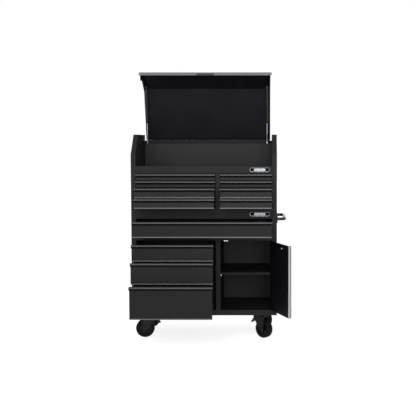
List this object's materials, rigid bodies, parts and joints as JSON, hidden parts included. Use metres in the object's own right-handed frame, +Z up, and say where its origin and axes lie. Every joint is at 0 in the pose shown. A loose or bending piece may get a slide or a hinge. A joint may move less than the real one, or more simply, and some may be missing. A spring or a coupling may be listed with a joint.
{
  "type": "tool chest and cabinet combo",
  "caption": "Rolling steel tool cabinet with drawers and a doored compartment, under a tool chest with drawers and a propped-up hinged lid.",
  "frame": {"origin": "on the floor, under the middle of the box that the whole object fills at rest, with its drawers, door and lid open", "axes": "+X to the object's right as seen from the front, -Y to the front where the drawers open, +Z up"},
  "size_m": [1.2742, 1.1242, 2.1618],
  "materials": {
    "casing_paint": "fine textured black powder coat",
    "drawer_paint": "fine textured black powder coat",
    "pull_metal": "satin black anodised extrusion",
    "slide_steel": "dark zinc plated",
    "handle_paint": "gloss black powder coat",
    "strut_tube": "satin black enamel",
    "strut_rod": "hard chrome",
    "hinge_steel": "bright zinc plated",
    "badge_metal": "brushed, blank",
    "caster_steel": "black zinc plated pressing",
    "wheel_rubber": "black tyre on a dark moulded rim"
  },
  "bodies": {
    "casing": {"cabinet_sides": "casing_paint", "cabinet_back": "casing_paint", "cabinet_top": "casing_paint", "cabinet_floor": "casing_paint", "cabinet_front_frame": "casing_paint", "cabinet_divider": "casing_paint", "compartment_shelf": "casing_paint", "cabinet_slide_rails": "slide_steel", "side_handle": "handle_paint", "caster_plates": "caster_steel", "chest_sides": "casing_paint", "chest_back": "casing_paint", "chest_floors": "casing_paint", "chest_front_frame": "casing_paint", "chest_divider": "casing_paint", "chest_slide_rails": "slide_steel", "badge_plates": "badge_metal", "hinges_studs_and_catch": "hinge_steel"},
    "cabinet_3_drawer": {"drawer_cabinet_3": "drawer_paint", "pull_cabinet_3": "pull_metal"},
    "cabinet_2_drawer": {"drawer_cabinet_2": "drawer_paint", "pull_cabinet_2": "pull_metal"},
    "cabinet_1_drawer": {"drawer_cabinet_1": "drawer_paint", "pull_cabinet_1": "pull_metal"},
    "cabinet_wide_drawer": {"drawer_cabinet_wide": "drawer_paint", "pull_cabinet_wide": "pull_metal"},
    "chest_left_4_drawer": {"drawer_chest_left_4": "drawer_paint", "pull_chest_left_4": "pull_metal"},
    "chest_right_4_drawer": {"drawer_chest_right_4": "drawer_paint", "pull_chest_right_4": "pull_metal"},
    "chest_left_3_drawer": {"drawer_chest_left_3": "drawer_paint", "pull_chest_left_3": "pull_metal"},
    "chest_right_3_drawer": {"drawer_chest_right_3": "drawer_paint", "pull_chest_right_3": "pull_metal"},
    "chest_left_2_drawer": {"drawer_chest_left_2": "drawer_paint", "pull_chest_left_2": "pull_metal"},
    "chest_right_2_drawer": {"drawer_chest_right_2": "drawer_paint", "pull_chest_right_2": "pull_metal"},
    "chest_left_1_drawer": {"drawer_chest_left_1": "drawer_paint", "pull_chest_left_1": "pull_metal"},
    "chest_right_1_drawer": {"drawer_chest_right_1": "drawer_paint", "pull_chest_right_1": "pull_metal"},
    "lid": {"lid_shell": "casing_paint", "lid_pull": "pull_metal"},
    "door": {"door_panel": "casing_paint", "door_pull": "pull_metal"},
    "strut_rod_left": {"strut_rod_left": "strut_rod"},
    "strut_tube_left": {"strut_tube_left": "strut_tube"},
    "strut_rod_right": {"strut_rod_right": "strut_rod"},
    "strut_tube_right": {"strut_tube_right": "strut_tube"},
    "caster_front_left": {"caster_fork_front_left": "caster_steel"},
    "wheel_front_left": {"caster_wheel_front_left": "wheel_rubber"},
    "pedal_front_left": {"brake_pedal_front_left": "caster_steel"},
    "caster_front_right": {"caster_fork_front_right": "caster_steel"},
    "wheel_front_right": {"caster_wheel_front_right": "wheel_rubber"},
    "pedal_front_right": {"brake_pedal_front_right": "caster_steel"},
    "caster_rear_left": {"caster_fork_rear_left": "caster_steel"},
    "wheel_rear_left": {"caster_wheel_rear_left": "wheel_rubber"},
    "caster_rear_right": {"caster_fork_rear_right": "caster_steel"},
    "wheel_rear_right": {"caster_wheel_rear_right": "wheel_rubber"}
  },
  "joints": [
    {"name": "cabinet_3_slide", "type": "slide", "parent": "casing", "child": "cabinet_3_drawer", "axis": [0, -1, 0], "range_m": [-0.448, 0.052]},
    {"name": "cabinet_2_slide", "type": "slide", "parent": "casing", "child": "cabinet_2_drawer", "axis": [0, -1, 0], "range_m": [-0.365, 0.135]},
    {"name": "cabinet_1_slide", "type": "slide", "parent": "casing", "child": "cabinet_1_drawer", "axis": [0, -1, 0], "range_m": [-0.301, 0.199]},
    {"name": "cabinet_wide_slide", "type": "slide", "parent": "casing", "child": "cabinet_wide_drawer", "axis": [0, -1, 0], "range_m": [-0.26, 0.24]},
    {"name": "chest_left_4_slide", "type": "slide", "parent": "casing", "child": "chest_left_4_drawer", "axis": [0, -1, 0], "range_m": [-0.142, 0.358]},
    {"name": "chest_right_4_slide", "type": "slide", "parent": "casing", "child": "chest_right_4_drawer", "axis": [0, -1, 0], "range_m": [-0.142, 0.358]},
    {"name": "chest_left_3_slide", "type": "slide", "parent": "casing", "child": "chest_left_3_drawer", "axis": [0, -1, 0], "range_m": [-0.1, 0.4]},
    {"name": "chest_right_3_slide", "type": "slide", "parent": "casing", "child": "chest_right_3_drawer", "axis": [0, -1, 0], "range_m": [-0.1, 0.4]},
    {"name": "chest_left_2_slide", "type": "slide", "parent": "casing", "child": "chest_left_2_drawer", "axis": [0, -1, 0], "range_m": [-0.016, 0.484]},
    {"name": "chest_right_2_slide", "type": "slide", "parent": "casing", "child": "chest_right_2_drawer", "axis": [0, -1, 0], "range_m": [-0.016, 0.484]},
    {"name": "chest_left_1_slide", "type": "slide", "parent": "casing", "child": "chest_left_1_drawer", "axis": [0, -1, 0], "range_m": [-0.006, 0.494]},
    {"name": "chest_right_1_slide", "type": "slide", "parent": "casing", "child": "chest_right_1_drawer", "axis": [0, -1, 0], "range_m": [-0.006, 0.494]},
    {"name": "lid_hinge", "type": "hinge", "parent": "casing", "child": "lid", "pos_m": [-0.05313, 0.5242, 1.614], "axis": [1, 0, 0], "range_deg": [0, 72]},
    {"name": "door_hinge", "type": "hinge", "parent": "casing", "child": "door", "pos_m": [0.49137, -0.0974, 0.522], "axis": [0, 0, 1], "range_deg": [-110, 15]},
    {"name": "strut_swing_left", "type": "hinge", "parent": "casing", "child": "strut_rod_left", "pos_m": [-0.55813, 0.3779, 1.59], "axis": [1, 0, 0], "range_deg": [-0.01, 88.71]},
    {"name": "strut_stroke_left", "type": "slide", "parent": "strut_rod_left", "child": "strut_tube_left", "axis": [0, -0.113, 0.9936], "range_m": [-0.13199, 0.0001]},
    {"name": "strut_swing_right", "type": "hinge", "parent": "casing", "child": "strut_rod_right", "pos_m": [0.45187, 0.3779, 1.59], "axis": [1, 0, 0], "range_deg": [-0.01, 88.71]},
    {"name": "strut_stroke_right", "type": "slide", "parent": "strut_rod_right", "child": "strut_tube_right", "axis": [0, -0.113, 0.9936], "range_m": [-0.13199, 0.0001]},
    {"name": "swivel_front_left", "type": "hinge", "parent": "casing", "child": "caster_front_left", "pos_m": [-0.49813, 0.0129, 0.191], "axis": [0, 0, 1], "continuous": true},
    {"name": "spin_front_left", "type": "hinge", "parent": "caster_front_left", "child": "wheel_front_left", "pos_m": [-0.54413, 0.0129, 0.075], "axis": [0, -1, 0], "continuous": true},
    {"name": "press_front_left", "type": "hinge", "parent": "caster_front_left", "child": "pedal_front_left", "pos_m": [-0.46413, 0.0129, 0.1627], "axis": [0, 1, 0], "range_deg": [0, 12]},
    {"name": "swivel_front_right", "type": "hinge", "parent": "casing", "child": "caster_front_right", "pos_m": [0.39187, 0.0129, 0.191], "axis": [0, 0, 1], "continuous": true},
    {"name": "spin_front_right", "type": "hinge", "parent": "caster_front_right", "child": "wheel_front_right", "pos_m": [0.42711, -0.01667, 0.075], "axis": [0.6428, 0.766, 0], "continuous": true},
    {"name": "press_front_right", "type": "hinge", "parent": "caster_front_right", "child": "pedal_front_right", "pos_m": [0.36583, 0.03475, 0.1627], "axis": [-0.6428, -0.766, 0], "range_deg": [0, 12]},
    {"name": "swivel_rear_left", "type": "hinge", "parent": "casing", "child": "caster_rear_left", "pos_m": [-0.49813, 0.4249, 0.191], "axis": [0, 0, 1], "continuous": true},
    {"name": "spin_rear_left", "type": "hinge", "parent": "caster_rear_left", "child": "wheel_rear_left", "pos_m": [-0.54413, 0.4249, 0.075], "axis": [0, -1, 0], "continuous": true},
    {"name": "swivel_rear_right", "type": "hinge", "parent": "casing", "child": "caster_rear_right", "pos_m": [0.39187, 0.4249, 0.191], "axis": [0, 0, 1], "continuous": true},
    {"name": "spin_rear_right", "type": "hinge", "parent": "caster_rear_right", "child": "wheel_rear_right", "pos_m": [0.42711, 0.39533, 0.075], "axis": [0.6428, 0.766, 0], "continuous": true}
  ],
  "couplings": [
    {"joint": "strut_swing_left", "follows": "lid_hinge", "ratio": 1.2319},
    {"joint": "strut_stroke_left", "follows": "lid_hinge", "m_per_rad": -0.10495},
    {"joint": "strut_swing_right", "follows": "lid_hinge", "ratio": 1.2319},
    {"joint": "strut_stroke_right", "follows": "lid_hinge", "m_per_rad": -0.10495}
  ]
}
